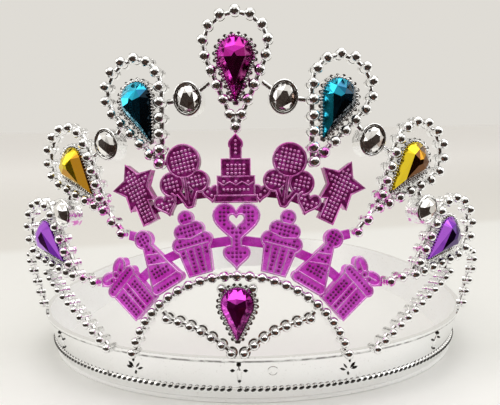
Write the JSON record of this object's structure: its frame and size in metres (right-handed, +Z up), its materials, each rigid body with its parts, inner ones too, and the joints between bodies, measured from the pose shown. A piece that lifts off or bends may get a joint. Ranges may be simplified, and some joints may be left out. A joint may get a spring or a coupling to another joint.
{
  "type": "birthday crown",
  "caption": "Child's party tiara: oval chromed band, bead-work wall with drop-shaped petals, faceted stones and a studded magenta frieze of party motifs.",
  "frame": {"origin": "on the table, under the middle of the whole crown's box", "axes": "+Z up, -Y towards the front of the crown, +X to the right as seen from the front"},
  "size_m": [0.1546, 0.1831, 0.1121],
  "materials": {
    "chromed_plastic": "bright chrome-plated moulded plastic",
    "magenta_lacquer": "translucent magenta lacquer over chromed plastic",
    "pink_stone": "foil-backed faceted acrylic",
    "blue_stone": "foil-backed faceted acrylic",
    "yellow_stone": "foil-backed faceted acrylic",
    "purple_stone": "foil-backed faceted acrylic",
    "silver_stone": "foil-backed clear faceted acrylic"
  },
  "bodies": {
    "root": {"band": "chromed_plastic", "arch": "chromed_plastic", "swag_left": "chromed_plastic", "swag_right": "chromed_plastic", "pendant_setting": "chromed_plastic", "pendant_stone": "pink_stone", "frieze_upper": "magenta_lacquer", "frieze_lower": "magenta_lacquer", "petal_top": "chromed_plastic", "petal_blue_left": "chromed_plastic", "petal_blue_right": "chromed_plastic", "petal_yellow_left": "chromed_plastic", "petal_yellow_right": "chromed_plastic", "petal_purple_left": "chromed_plastic", "petal_purple_right": "chromed_plastic", "drop_pink": "pink_stone", "drop_blue_left": "blue_stone", "drop_blue_right": "blue_stone", "drop_yellow_left": "yellow_stone", "drop_yellow_right": "yellow_stone", "drop_purple_left": "purple_stone", "drop_purple_right": "purple_stone", "cup_high_left": "chromed_plastic", "cup_high_right": "chromed_plastic", "cup_middle_left": "chromed_plastic", "cup_middle_right": "chromed_plastic", "cup_low_left": "chromed_plastic", "cup_low_right": "chromed_plastic", "oval_high_left": "silver_stone", "oval_high_right": "silver_stone", "oval_middle_left": "silver_stone", "oval_middle_right": "silver_stone", "oval_low_left": "silver_stone", "oval_low_right": "silver_stone", "link_strand_left": "chromed_plastic", "link_strand_right": "chromed_plastic", "tip_strand_left": "chromed_plastic", "tip_strand_right": "chromed_plastic", "diagonal_strand_left": "chromed_plastic", "diagonal_strand_right": "chromed_plastic", "outer_strand_left": "chromed_plastic", "outer_strand_right": "chromed_plastic"}
  },
  "joints": []
}
